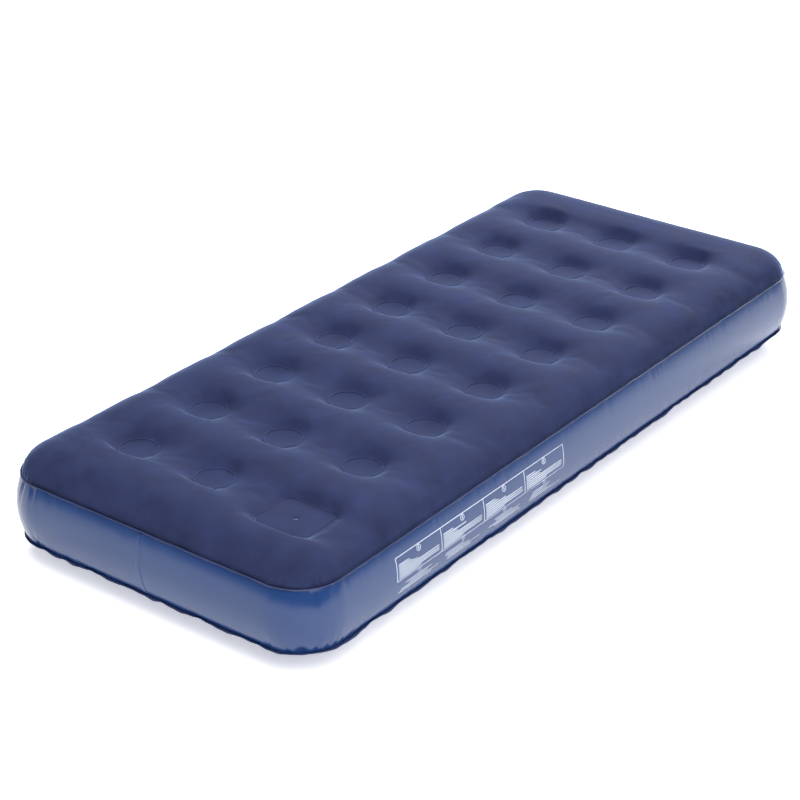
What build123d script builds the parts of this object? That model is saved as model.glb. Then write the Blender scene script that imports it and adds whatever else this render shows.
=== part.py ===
"""Single air bed with a flocked top, a built-in foot pump and a screw valve, in millimetres.

The bed lies along X, its width runs along Y and it stands on Z = 0, blown up. The origin is the
middle of its footprint. Rows of beams count from the +X end, columns A, B and C from +Y to -Y.
"""

import os
from math import asin, degrees

from build123d import *

# the bed: outline of the two welded seams, and the levels from the floor up
SEAM_LENGTH = 1750.0
SEAM_WIDTH = 738.0
SEAM_CORNER = 91.0
HEIGHT = 224.0
LOW_SEAM = 43.0
HIGH_SEAM = 173.0
SIDE_BULGE = 15.0
WELD_RIM = 7.0
ROLL_MARGIN = 3.0

# gauges of the sheets, which are heavier than real film so that every wall is a sound solid
TOP_GAUGE = 1.0
BOTTOM_GAUGE = 1.0
SIDE_GAUGE = 1.0
BEAM_GAUGE = 1.0

# the grid of round welds that holds top and bottom together
ROWS = 8
COLUMNS = "ABC"
END_MARGIN = 189.0
SIDE_MARGIN = 179.0
GRID_SHIFT = -5.0
WELD_RADIUS = 42.0
DIMPLE_RADIUS = 78.0
TOP_DIMPLE = 20.5
BOTTOM_DIMPLE = 18.0
CUT_OVERRUN = 2.0
VENT_RADIUS = 9.0

# lap weld that closes the side band into a ring, on the -X end, and its distance from the +Y seam
LAP_SIDE = 365.0
LAP_WIDTH = 12.0

# foot pump, in the corner place of the grid that has no beam, placed from the two seams beside it
PUMP_END = 161.0
PUMP_SIDE = 157.0
TREAD_LENGTH = 100.0
TREAD_WIDTH = 115.0
TREAD_CORNER = 14.0
TREAD_GAP = 1.5
PUMP_LEDGE = 6.0
RECESS_TAPER = 40.0
PUMP_DEPTH = 58.0
PUMP_GAUGE = 1.0
FOAM_GAP = 1.0
INLET_RADIUS = 7.0
INLET_RING = 11.0
INLET_COLLAR = 14.0
INLET_HEIGHT = 2.0
FOAM_WELL = 18.0
FOAM_WELL_DEPTH = 26.0
OUTLET_RADIUS = 8.0
OUTLET_RING = 15.0
OUTLET_THICKNESS = 3.0
OUTLET_DROP = 32.0
FLAP_LIP = 2.5
FLAP_GAUGE = 1.0
FLAP_NECK = 8.0

# screw valve on the +X end: bore and walls as radii, positions as steps out from the wall
VALVE_SIDE = 179.0
PORT_RADIUS = 30.0
FLANGE_RADIUS = 44.0
FLANGE_GAUGE = 1.6
NECK_RADIUS = 24.0
NECK_LENGTH = 24.0
LIP_SINK = 0.5
THREAD_RADIUS = 19.3
THREAD_CLEARANCE = 0.3
GASKET_THICKNESS = 1.4
GASKET_RADIUS = 23.5
HEAD_RADIUS = 26.0
HEAD_THICKNESS = 2.5
PLUG_LENGTH = 19.0
PLUG_WALL = 3.0
SPOUT_BORE = 9.0
SPOUT_WALL = 3.0
SPOUT_RISE = 7.0
SPOUT_DEPTH = 15.0
GRIP_RIBS = 24
GRIP_RADIUS = 1.0
CUP_CLEARANCE = 1.2
CUP_WALL = 1.8
CUP_TOP = 1.6
CUP_GAP = 0.3
STRAP_WIDTH = 9.0
STRAP_THICKNESS = 1.3
HINGE_GAP = 0.4
TAB_REACH = 6.0
CHECK_LIP = 2.0

# levels and places that follow from the sizes above
MIDDLE = (LOW_SEAM + HIGH_SEAM) / 2
HALF_BAND = (HIGH_SEAM - LOW_SEAM) / 2
BULGE_RADIUS = (HALF_BAND**2 + SIDE_BULGE**2) / (2 * SIDE_BULGE)
ROW_PITCH = (SEAM_LENGTH - 2 * END_MARGIN) / (ROWS - 1)
COLUMN_PITCH = (SEAM_WIDTH - 2 * SIDE_MARGIN) / (len(COLUMNS) - 1)
PUMP_X = PUMP_END - SEAM_LENGTH / 2
PUMP_Y = PUMP_SIDE - SEAM_WIDTH / 2
VALVE_Y = SEAM_WIDTH / 2 - VALVE_SIDE
LAP_Y = SEAM_WIDTH / 2 - LAP_SIDE
STRAIGHT_X = SEAM_LENGTH / 2 - SEAM_CORNER
STRAIGHT_Y = SEAM_WIDTH / 2 - SEAM_CORNER
TOP_WELD = HEIGHT - TOP_DIMPLE
BOTTOM_WELD = BOTTOM_DIMPLE
WALL_X = SEAM_LENGTH / 2 + SIDE_BULGE
PUMP_FLOOR = TOP_WELD - TOP_GAUGE - PUMP_DEPTH
WINDOW_LENGTH = TREAD_LENGTH + 2 * TREAD_GAP
WINDOW_WIDTH = TREAD_WIDTH + 2 * TREAD_GAP
WINDOW_CORNER = TREAD_CORNER + TREAD_GAP
PAN_LENGTH = WINDOW_LENGTH + 2 * PUMP_GAUGE
PAN_WIDTH = WINDOW_WIDTH + 2 * PUMP_GAUGE
PAN_CORNER = WINDOW_CORNER + PUMP_GAUGE


def beam_places():
    """Name and centre of each beam, without the corner place that the foot pump takes."""
    places = {}
    for row in range(1, ROWS + 1):
        for index, column in enumerate(COLUMNS):
            x = GRID_SHIFT + ((ROWS + 1) / 2 - row) * ROW_PITCH
            y = ((len(COLUMNS) - 1) / 2 - index) * COLUMN_PITCH
            places[f"{row}{column}"] = (x, y)
    del places[f"{ROWS}{COLUMNS[-1]}"]
    return places


BEAMS = beam_places()


def cushion(seam, rise, depth, gauge):
    """Half of the blown-up bed: a crowned block with a cone cut in at each round weld.

    A rise above zero builds upwards from the seam and one below zero downwards; the gauge is
    how far the block lies inside the outer skin.
    """
    side = 1 if rise > 0 else -1
    crown = seam + rise - side * gauge
    weld = seam + rise - side * (depth + gauge)
    slope = (DIMPLE_RADIUS - WELD_RADIUS) / depth
    roll = abs(rise) - ROLL_MARGIN - gauge
    cut = depth + CUT_OVERRUN
    with BuildPart() as block:
        with BuildSketch(Plane.XY.offset(seam)):
            RectangleRounded(
                SEAM_LENGTH - 2 * gauge, SEAM_WIDTH - 2 * gauge, SEAM_CORNER - gauge
            )
        extrude(amount=crown - seam)
        outer = block.faces().sort_by(Axis.Z)[-1 if side > 0 else 0]
        fillet(outer.edges(), min(roll, SEAM_CORNER - gauge - 1))
        cones = [Location((x, y, weld), (0 if side > 0 else 180, 0, 0)) for x, y in BEAMS.values()]
        with Locations(*cones):
            Cone(
                WELD_RADIUS + gauge,
                WELD_RADIUS + gauge + cut * slope,
                cut,
                align=(Align.CENTER, Align.CENTER, Align.MIN),
                mode=Mode.SUBTRACT,
            )
    return block.part


def top_cushion(gauge):
    """The top half, with the tapered well over the foot pump cut into it as well."""
    with BuildPart() as half:
        add(cushion(HIGH_SEAM, HEIGHT - HIGH_SEAM, TOP_DIMPLE, gauge))
        with BuildSketch(Plane.XY.offset(TOP_WELD - gauge)):
            with Locations((PUMP_X, PUMP_Y)):
                RectangleRounded(
                    WINDOW_LENGTH + 2 * (PUMP_LEDGE + gauge),
                    WINDOW_WIDTH + 2 * (PUMP_LEDGE + gauge),
                    WINDOW_CORNER + PUMP_LEDGE + gauge,
                )
        extrude(amount=TOP_DIMPLE + CUT_OVERRUN, taper=-RECESS_TAPER, mode=Mode.SUBTRACT)
    return half.part


def welded_rim(level, amount, gauge):
    """Flat rim of a sheet that stands out all round, past the seam, where it is welded."""
    with BuildPart() as rim:
        with BuildSketch(Plane.XY.offset(level)):
            RectangleRounded(
                SEAM_LENGTH + 2 * WELD_RIM, SEAM_WIDTH + 2 * WELD_RIM, SEAM_CORNER + WELD_RIM
            )
            RectangleRounded(
                SEAM_LENGTH - 2 * gauge,
                SEAM_WIDTH - 2 * gauge,
                SEAM_CORNER - gauge,
                mode=Mode.SUBTRACT,
            )
        extrude(amount=amount)
    return rim.part


def band_profile():
    """Section of the side band, seen along the seam: a bulged wall with a rim at each edge."""
    with Locations((SIDE_BULGE - BULGE_RADIUS, MIDDLE)):
        Circle(BULGE_RADIUS)
        Circle(BULGE_RADIUS - SIDE_GAUGE, mode=Mode.SUBTRACT)
    with Locations((0, MIDDLE)):
        Rectangle(3 * SIDE_BULGE, 2 * HALF_BAND, mode=Mode.INTERSECT)
    with Locations((0, LOW_SEAM)):
        Rectangle(WELD_RIM, SIDE_GAUGE, align=(Align.MIN, Align.MIN))
    with Locations((0, HIGH_SEAM)):
        Rectangle(WELD_RIM, SIDE_GAUGE, align=(Align.MIN, Align.MAX))


def flap(reach, neck, gauge):
    """Outline of a one-way flap that hangs in Z from its hinge line at the sketch's origin."""
    with Locations((0, -(reach + neck))):
        Circle(reach)
    Rectangle(FLAP_NECK, reach + neck, align=(Align.CENTER, Align.MAX))


os.makedirs("parts", exist_ok=True)

# ---------------------------------------------------------------- top sheet, flocked
with BuildPart() as top_sheet:
    add(top_cushion(0))
    add(top_cushion(TOP_GAUGE), mode=Mode.SUBTRACT)
    with BuildSketch(Plane.XY.offset(TOP_WELD - 2 * TOP_GAUGE)):
        with Locations((PUMP_X, PUMP_Y)):
            RectangleRounded(WINDOW_LENGTH, WINDOW_WIDTH, WINDOW_CORNER)
    extrude(amount=3 * TOP_GAUGE, mode=Mode.SUBTRACT)
    add(welded_rim(HIGH_SEAM, TOP_GAUGE, TOP_GAUGE))
top_sheet.part.label = "top_sheet"
export_step(top_sheet.part, "parts/top_sheet.step")

# ---------------------------------------------------------------- bottom sheet
with BuildPart() as bottom_sheet:
    add(cushion(LOW_SEAM, -LOW_SEAM, BOTTOM_DIMPLE, 0))
    add(cushion(LOW_SEAM, -LOW_SEAM, BOTTOM_DIMPLE, BOTTOM_GAUGE), mode=Mode.SUBTRACT)
    add(welded_rim(LOW_SEAM, -BOTTOM_GAUGE, BOTTOM_GAUGE))
bottom_sheet.part.label = "bottom_sheet"
export_step(bottom_sheet.part, "parts/bottom_sheet.step")

# ---------------------------------------------------------------- side band
with BuildPart() as side_wall:
    with BuildSketch(Plane((SEAM_LENGTH / 2, 0, 0), x_dir=(1, 0, 0), z_dir=(0, -1, 0))):
        band_profile()
    extrude(amount=-STRAIGHT_Y)
    with BuildSketch(Plane((SEAM_LENGTH / 2, STRAIGHT_Y, 0), x_dir=(1, 0, 0), z_dir=(0, -1, 0))):
        band_profile()
    revolve(axis=Axis((STRAIGHT_X, STRAIGHT_Y, 0), (0, 0, 1)), revolution_arc=90)
    with BuildSketch(Plane((0, SEAM_WIDTH / 2, 0), x_dir=(0, 1, 0), z_dir=(1, 0, 0))):
        band_profile()
    extrude(amount=STRAIGHT_X)
    mirror(about=Plane.XZ)
    mirror(about=Plane.YZ)
    # the band's overlapping end, a second thickness outside the first
    with BuildSketch(Plane((-SEAM_LENGTH / 2, LAP_Y, 0), x_dir=(-1, 0, 0), z_dir=(0, 1, 0))):
        with Locations((SIDE_BULGE - BULGE_RADIUS, MIDDLE)):
            Circle(BULGE_RADIUS + SIDE_GAUGE)
            Circle(BULGE_RADIUS - SIDE_GAUGE / 2, mode=Mode.SUBTRACT)
        with Locations((0, MIDDLE)):
            Rectangle(3 * SIDE_BULGE, 2 * (HALF_BAND - SIDE_GAUGE), mode=Mode.INTERSECT)
    extrude(amount=LAP_WIDTH)
    with Locations(Location((WALL_X, VALVE_Y, MIDDLE), (0, 90, 0))):
        Cylinder(PORT_RADIUS, 4 * SIDE_BULGE, mode=Mode.SUBTRACT)
side_wall.part.label = "side_wall"
export_step(side_wall.part, "parts/side_wall.step")

# ---------------------------------------------------------------- coil beams inside
beam_height = TOP_WELD - TOP_GAUGE - BOTTOM_WELD - BOTTOM_GAUGE
for name, (x, y) in BEAMS.items():
    with BuildPart(Plane((x, y, BOTTOM_WELD + BOTTOM_GAUGE))) as beam:
        Cylinder(WELD_RADIUS, beam_height, align=(Align.CENTER, Align.CENTER, Align.MIN))
        Cylinder(
            WELD_RADIUS - BEAM_GAUGE,
            beam_height,
            align=(Align.CENTER, Align.CENTER, Align.MIN),
            mode=Mode.SUBTRACT,
        )
        for turn in (0, 90):
            with Locations(Location((0, 0, beam_height / 2), (90, turn, 0))):
                Cylinder(VENT_RADIUS, 3 * WELD_RADIUS, mode=Mode.SUBTRACT)
    beam.part.label = f"coil_beam_{name}"
    export_step(beam.part, f"parts/coil_beam_{name}.step")

# ---------------------------------------------------------------- foot pump
pump_top = TOP_WELD - TOP_GAUGE
outlet_z = TOP_WELD - OUTLET_DROP
outlet_x = PUMP_X + PAN_LENGTH / 2

with BuildPart() as pump_chamber:
    with BuildSketch(Plane.XY.offset(PUMP_FLOOR - PUMP_GAUGE)):
        with Locations((PUMP_X, PUMP_Y)):
            RectangleRounded(PAN_LENGTH, PAN_WIDTH, PAN_CORNER)
    extrude(amount=PUMP_DEPTH + PUMP_GAUGE)
    with BuildSketch(Plane.XY.offset(pump_top - PUMP_GAUGE)):
        with Locations((PUMP_X, PUMP_Y)):
            RectangleRounded(
                WINDOW_LENGTH + 2 * PUMP_LEDGE,
                WINDOW_WIDTH + 2 * PUMP_LEDGE,
                WINDOW_CORNER + PUMP_LEDGE,
            )
    extrude(amount=PUMP_GAUGE)
    with BuildSketch(Plane.XY.offset(PUMP_FLOOR)):
        with Locations((PUMP_X, PUMP_Y)):
            RectangleRounded(WINDOW_LENGTH, WINDOW_WIDTH, WINDOW_CORNER)
    extrude(amount=PUMP_DEPTH, mode=Mode.SUBTRACT)
    with Locations(Location((outlet_x, PUMP_Y, outlet_z), (0, 90, 0))):
        Cylinder(OUTLET_RADIUS, 4 * PUMP_GAUGE, mode=Mode.SUBTRACT)
pump_chamber.part.label = "pump_chamber"
export_step(pump_chamber.part, "parts/pump_chamber.step")

with BuildPart() as pump_foam:
    with BuildSketch(Plane.XY.offset(PUMP_FLOOR)):
        with Locations((PUMP_X, PUMP_Y)):
            RectangleRounded(
                TREAD_LENGTH - 2 * FOAM_GAP, TREAD_WIDTH - 2 * FOAM_GAP, TREAD_CORNER - FOAM_GAP
            )
    extrude(amount=PUMP_DEPTH)
    with Locations((PUMP_X, PUMP_Y, pump_top)):
        Cylinder(
            FOAM_WELL,
            FOAM_WELL_DEPTH,
            align=(Align.CENTER, Align.CENTER, Align.MAX),
            mode=Mode.SUBTRACT,
        )
pump_foam.part.label = "pump_foam"
export_step(pump_foam.part, "parts/pump_foam.step")

with BuildPart() as pump_tread:
    with BuildSketch(Plane.XY.offset(pump_top)):
        with Locations((PUMP_X, PUMP_Y)):
            RectangleRounded(TREAD_LENGTH, TREAD_WIDTH, TREAD_CORNER)
            Circle(INLET_RING, mode=Mode.SUBTRACT)
    extrude(amount=TOP_GAUGE)
pump_tread.part.label = "pump_tread"
export_step(pump_tread.part, "parts/pump_tread.step")

with BuildPart(Plane((PUMP_X, PUMP_Y, pump_top))) as pump_inlet:
    Cylinder(INLET_RING, TOP_GAUGE, align=(Align.CENTER, Align.CENTER, Align.MIN))
    Cylinder(INLET_COLLAR, INLET_HEIGHT, align=(Align.CENTER, Align.CENTER, Align.MAX))
    Cylinder(INLET_RADIUS, 4 * INLET_HEIGHT, mode=Mode.SUBTRACT)
pump_inlet.part.label = "pump_inlet"
export_step(pump_inlet.part, "parts/pump_inlet.step")

# the flap closes the inlet from below, and is hinged on the -X side
inlet_hinge = (PUMP_X - INLET_RADIUS - 2 * FLAP_LIP, PUMP_Y, pump_top - INLET_HEIGHT)
with BuildPart() as inlet_flap:
    with BuildSketch(Plane(inlet_hinge, x_dir=(0, -1, 0), z_dir=(0, 0, -1))):
        flap(INLET_RADIUS + FLAP_LIP, FLAP_LIP, FLAP_GAUGE)
    extrude(amount=FLAP_GAUGE)
inlet_flap.part.label = "inlet_flap"
export_step(inlet_flap.part, "parts/inlet_flap.step")

with BuildPart(Plane((outlet_x, PUMP_Y, outlet_z), x_dir=(0, 1, 0), z_dir=(1, 0, 0))) as outlet_seat:
    Cylinder(OUTLET_RING, OUTLET_THICKNESS, align=(Align.CENTER, Align.CENTER, Align.MIN))
    Cylinder(OUTLET_RADIUS, 3 * OUTLET_THICKNESS, mode=Mode.SUBTRACT)
outlet_seat.part.label = "outlet_seat"
export_step(outlet_seat.part, "parts/outlet_seat.step")

outlet_hinge = (outlet_x + OUTLET_THICKNESS, PUMP_Y, outlet_z + OUTLET_RADIUS + 2 * FLAP_LIP)
with BuildPart() as outlet_flap:
    with BuildSketch(Plane(outlet_hinge, x_dir=(0, 1, 0), z_dir=(1, 0, 0))):
        flap(OUTLET_RADIUS + FLAP_LIP, FLAP_LIP, FLAP_GAUGE)
    extrude(amount=FLAP_GAUGE)
outlet_flap.part.label = "outlet_flap"
export_step(outlet_flap.part, "parts/outlet_flap.step")

# ---------------------------------------------------------------- screw valve
lip_x = WALL_X - LIP_SINK
head_x = lip_x + GASKET_THICKNESS
face_x = head_x + HEAD_THICKNESS
mouth_x = face_x + SPOUT_RISE
seat_x = head_x - SPOUT_DEPTH
plug_radius = THREAD_RADIUS - THREAD_CLEARANCE
spout_radius = SPOUT_BORE + SPOUT_WALL
cup_bore = spout_radius + CUP_CLEARANCE
cup_radius = cup_bore + CUP_WALL
hinge_rise = HEAD_RADIUS + HINGE_GAP


def valve_plane(x):
    """Plane across the valve at x, looking out of the bed, with its sketch's Y pointing up."""
    return Plane((x, VALVE_Y, MIDDLE), x_dir=(0, 1, 0), z_dir=(1, 0, 0))


with BuildPart() as valve_body:
    # the flange follows the inside of the bulged wall
    with BuildSketch(Plane((0, VALVE_Y - FLANGE_RADIUS, 0), x_dir=(1, 0, 0), z_dir=(0, -1, 0))):
        with Locations((WALL_X - BULGE_RADIUS, MIDDLE)):
            Circle(BULGE_RADIUS - SIDE_GAUGE)
            Circle(BULGE_RADIUS - SIDE_GAUGE - FLANGE_GAUGE, mode=Mode.SUBTRACT)
    extrude(amount=-2 * FLANGE_RADIUS)
    with BuildSketch(valve_plane(WALL_X + SIDE_BULGE)):
        Circle(FLANGE_RADIUS)
    extrude(amount=-4 * SIDE_BULGE, mode=Mode.INTERSECT)
    with BuildSketch(valve_plane(lip_x)):
        Circle(NECK_RADIUS)
    extrude(amount=-NECK_LENGTH)
    with BuildSketch(valve_plane(WALL_X + SIDE_BULGE)):
        Circle(THREAD_RADIUS)
    extrude(amount=-4 * SIDE_BULGE, mode=Mode.SUBTRACT)
valve_body.part.label = "valve_body"
export_step(valve_body.part, "parts/valve_body.step")

with BuildPart() as cap_gasket:
    with BuildSketch(valve_plane(lip_x)):
        Circle(GASKET_RADIUS)
        Circle(THREAD_RADIUS, mode=Mode.SUBTRACT)
    extrude(amount=GASKET_THICKNESS)
cap_gasket.part.label = "cap_gasket"
export_step(cap_gasket.part, "parts/cap_gasket.step")

with BuildPart() as valve_cap:
    with BuildSketch(valve_plane(head_x)):
        Circle(HEAD_RADIUS)
        with PolarLocations(HEAD_RADIUS, GRIP_RIBS, start_angle=180 / GRIP_RIBS):
            Circle(GRIP_RADIUS, mode=Mode.SUBTRACT)
    extrude(amount=HEAD_THICKNESS)
    with BuildSketch(valve_plane(head_x - PLUG_LENGTH)):
        Circle(plug_radius)
        Circle(plug_radius - PLUG_WALL, mode=Mode.SUBTRACT)
    extrude(amount=PLUG_LENGTH)
    with BuildSketch(valve_plane(seat_x)):
        Circle(spout_radius)
    extrude(amount=mouth_x - seat_x)
    with BuildSketch(valve_plane(seat_x)):
        Circle(SPOUT_BORE)
    extrude(amount=mouth_x - seat_x, mode=Mode.SUBTRACT)
valve_cap.part.label = "valve_cap"
export_step(valve_cap.part, "parts/valve_cap.step")

# the stopper: a cup over the outside of the spout, on a strap that bends at the head's top edge
with BuildPart() as stopper:
    with BuildSketch(valve_plane(face_x + CUP_GAP)):
        Circle(cup_radius)
    extrude(amount=SPOUT_RISE + CUP_TOP)
    with BuildSketch(valve_plane(face_x + CUP_GAP)):
        with Locations((0, hinge_rise)):
            Rectangle(STRAP_WIDTH, hinge_rise, align=(Align.CENTER, Align.MAX))
        with Locations((0, -cup_radius - TAB_REACH)):
            Rectangle(STRAP_WIDTH, cup_radius + TAB_REACH, align=(Align.CENTER, Align.MIN))
    extrude(amount=STRAP_THICKNESS)
    with BuildSketch(valve_plane(face_x + CUP_GAP)):
        Circle(cup_bore)
    extrude(amount=SPOUT_RISE, mode=Mode.SUBTRACT)
stopper.part.label = "stopper"
export_step(stopper.part, "parts/stopper.step")

# the check flap hangs inside the spout's inner end
check_hinge = (seat_x, VALVE_Y, MIDDLE + SPOUT_BORE + 2 * CHECK_LIP)
with BuildPart() as check_flap:
    with BuildSketch(Plane(check_hinge, x_dir=(0, 1, 0), z_dir=(1, 0, 0))):
        flap(SPOUT_BORE + CHECK_LIP, CHECK_LIP, FLAP_GAUGE)
    extrude(amount=-FLAP_GAUGE)
check_flap.part.label = "check_flap"
export_step(check_flap.part, "parts/check_flap.step")

sweep = degrees(asin(HALF_BAND / BULGE_RADIUS))
print(f"outside {SEAM_LENGTH + 2 * SIDE_BULGE:.0f} x {SEAM_WIDTH + 2 * SIDE_BULGE:.0f} x {HEIGHT:.0f}")
print(f"side band bulge radius {BULGE_RADIUS:.1f}, leaving the seams {sweep:.1f} degrees off upright")
print(f"flap hinges: inlet {inlet_hinge}, outlet {outlet_hinge}, check {check_hinge}")
print(f"stopper hinge: x {face_x + CUP_GAP:.1f}, {hinge_rise:.1f} above the axis")
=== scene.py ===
"""Single flocked air bed: skins, seams, print, foot pump, screw valve and a small studio.

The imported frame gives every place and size. The top skin is blown up as cloth over its round
welds, the side band and the seams are built along the seam line, and each piece rides on the
body that it belongs to.
"""

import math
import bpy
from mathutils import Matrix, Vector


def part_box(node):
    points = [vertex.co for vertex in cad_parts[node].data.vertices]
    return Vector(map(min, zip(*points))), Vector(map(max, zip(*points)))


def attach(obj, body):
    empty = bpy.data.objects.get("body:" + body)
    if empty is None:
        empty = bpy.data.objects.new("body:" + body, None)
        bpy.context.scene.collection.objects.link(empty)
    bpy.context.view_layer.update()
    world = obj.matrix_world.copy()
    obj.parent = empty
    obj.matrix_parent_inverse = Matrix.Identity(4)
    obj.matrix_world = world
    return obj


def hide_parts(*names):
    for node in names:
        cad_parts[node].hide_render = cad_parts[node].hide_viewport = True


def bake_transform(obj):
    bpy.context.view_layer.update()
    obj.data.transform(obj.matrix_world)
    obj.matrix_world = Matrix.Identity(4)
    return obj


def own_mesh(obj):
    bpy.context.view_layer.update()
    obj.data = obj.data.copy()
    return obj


bl_info = {
    "name": "Flocked air bed",
    "version": (1, 0, 0),
    "blender": (4, 5, 0),
    "location": "3D View > Sidebar > Air Bed",
    "description": "Builds the skins, seams, foot pump and studio of a single flocked air bed",
    "category": "Object",
}

import bpy
import numpy as np
from bpy.props import FloatProperty, FloatVectorProperty, IntProperty, PointerProperty
from mathutils import Vector

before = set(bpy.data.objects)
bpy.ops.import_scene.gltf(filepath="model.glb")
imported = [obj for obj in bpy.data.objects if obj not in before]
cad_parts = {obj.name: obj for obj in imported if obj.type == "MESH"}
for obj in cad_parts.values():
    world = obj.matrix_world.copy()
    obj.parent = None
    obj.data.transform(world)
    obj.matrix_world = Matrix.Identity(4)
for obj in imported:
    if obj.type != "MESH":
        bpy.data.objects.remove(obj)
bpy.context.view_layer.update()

BED = "mattress"
TREAD = "pump_tread"

# places that the frame gives
top_lo, top_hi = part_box("top_sheet")
side_lo, side_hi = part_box("side_wall")
bottom_lo, bottom_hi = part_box("bottom_sheet")
tread_lo, tread_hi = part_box("pump_tread")
pan_lo, pan_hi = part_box("pump_chamber")
foam_lo, foam_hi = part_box("pump_foam")
flange_lo, flange_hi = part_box("valve_body")
BEAMS = sorted(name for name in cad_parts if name.startswith("coil_beam_"))
BEAM_BOXES = [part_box(name) for name in BEAMS]
DISCS = np.array([((lo.x + hi.x) / 2, (lo.y + hi.y) / 2) for lo, hi in BEAM_BOXES])
DISC_RADIUS = (BEAM_BOXES[0][1].x - BEAM_BOXES[0][0].x) / 2
TOP_WELD = tread_hi.z
BOTTOM_WELD = BEAM_BOXES[0][0].z - (TOP_WELD - BEAM_BOXES[0][1].z)
LOW_SEAM = bottom_hi.z
HIGH_SEAM = top_lo.z
CROWN = top_hi.z
BAND_MIDDLE, BAND_HALF = (LOW_SEAM + HIGH_SEAM) / 2, (HIGH_SEAM - LOW_SEAM) / 2
PUMP = np.array([(tread_lo.x + tread_hi.x) / 2, (tread_lo.y + tread_hi.y) / 2])
PORT = np.array([(flange_lo.y + flange_hi.y) / 2, (flange_lo.z + flange_hi.z) / 2])

# how much harder each skin is pulled across the bed than along it
TOP_PULL, BASE_PULL = 10.0, 2.0
# the folds that each seam gathers: their reach from the seam, their depth, and their draw
FOLD_REACH = 0.010
TOP_FOLD, BASE_FOLD = 0.0055, 0.005
TOP_DRAW, BASE_DRAW = 5, 9


# ------------------------------------------------------------------ sizes and colours
def length(name, description, default):
    """A size in metres."""
    return FloatProperty(
        name=name, description=description, default=default, min=0, unit="LENGTH", precision=4
    )


def colour(name, description, default):
    """A finish's own colour."""
    return FloatVectorProperty(
        name=name, description=description, default=default, size=3, min=0, max=1, subtype="COLOR"
    )


class AirBedSizes(bpy.types.PropertyGroup):
    """Sizes that the frame doesn't give."""

    weld_rim: length("Weld rim", "Width of the welded rim outside each seam", 0.007)
    seam_corner: length("Seam corner", "Radius of the seam at the bed's corners", 0.091)
    cell: length("Cloth cell", "Distance between the points of the top skin's cloth", 0.0085)
    film: length("Film", "Thickness of the welded film", 0.0005)
    shoulder: length("Shoulder", "Width of the roll from the seam up to the crown", 0.085)
    ring_inset: length("Ring inset", "Distance of the weld ring from the weld's edge", 0.0045)
    ring_bead: length("Ring bead", "Radius of the bead that the weld ring raises", 0.0015)
    disc_dish: length("Disc dish", "How far the middle of a weld sinks below its edge", 0.0028)
    top_rim: length("Top rim", "Width of the upper rim that stands out free", 0.0036)
    base_rim: length("Base rim", "Width of the lower rim that stands out free", 0.0058)
    base_roll: length("Base roll", "Width of the slope from the lower seam to the ground", 0.125)
    port_radius: length("Port radius", "Radius of the hole in the band for the valve", 0.030)
    lap_place: length("Lap place", "Distance of the band's lap weld from the middle", 0.010)
    lap_width: length("Lap width", "Width of the lap weld that closes the band", 0.012)
    panel_start: length("Panel start", "Print's near edge, from the pump end's seam", 0.233)
    panel_length: length("Panel length", "Length of the printed panel", 0.535)
    panel_top: length("Panel top", "Height of the print's top line above the floor", 0.147)
    pan_corner: length("Pan corner", "Corner radius of the recess floor", 0.0215)
    window_gap: length("Window gap", "Gap between the tread and the window's edge", 0.0015)
    tread_corner: length("Tread corner", "Corner radius of the tread", 0.014)
    inlet_hole: length("Inlet hole", "Radius of the air hole in the tread's cover", 0.0016)
    settle_frames: IntProperty(
        name="Settle frames", description="Length of the cloth run", default=32, min=1
    )


class AirBedColours(bpy.types.PropertyGroup):
    """Colours of the finishes."""

    flock: colour("Flock", "Short pile on the top skin", (0.024, 0.032, 0.086))
    flock_tint: colour("Flock sheen", "Tint of the light that the pile's tips catch", (0.42, 0.6, 1.0))
    band: colour("Band film", "Glossy film of the side band", (0.012, 0.045, 0.165))
    rim: colour("Rim film", "Film of the pressed rims", (0.025, 0.04, 0.12))
    base: colour("Base film", "Satin film of the underside", (0.02, 0.045, 0.17))
    ink: colour("Ink", "Pale ink of the print", (0.74, 0.81, 0.92))
    beam: colour("Beam film", "Milky film of the beams inside", (0.3, 0.34, 0.42))
    foam: colour("Foam", "Open-cell foam of the foot pump", (0.55, 0.55, 0.53))
    moulding: colour("Moulding", "Soft moulded vinyl", (0.03, 0.045, 0.13))
    valve: colour("Valve cap", "Harder plastic of the valve cap", (0.025, 0.035, 0.1))
    flap: colour("Flaps", "Thin vinyl of the one-way flaps", (0.09, 0.11, 0.18))
    gasket: colour("Gasket", "Rubber of the gasket", (0.02, 0.02, 0.022))
    floor: colour("Floor", "Plain pale floor", (0.86, 0.87, 0.88))


def sizes():
    """The sizes of the scene in hand."""
    return bpy.context.scene.air_bed_sizes


def colours():
    """The colours of the scene in hand."""
    return bpy.context.scene.air_bed_colours


# ------------------------------------------------------------------ node and mesh helpers
def node(tree, kind, links=None, **settings):
    """Adds a node, sets what it is told and feeds its inputs with values or other outputs."""
    made = tree.nodes.new(kind)
    for key, value in settings.items():
        setattr(made, key, value)
    for key, value in (links or {}).items():
        if isinstance(value, bpy.types.NodeSocket):
            tree.links.new(value, made.inputs[key])
        else:
            made.inputs[key].default_value = value
    return made


def adder(tree):
    """A short way to add nodes to a tree: it gives the new node's first output."""

    def add(kind, links=None, **settings):
        return node(tree, kind, links, **settings).outputs[0]

    return add


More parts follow.
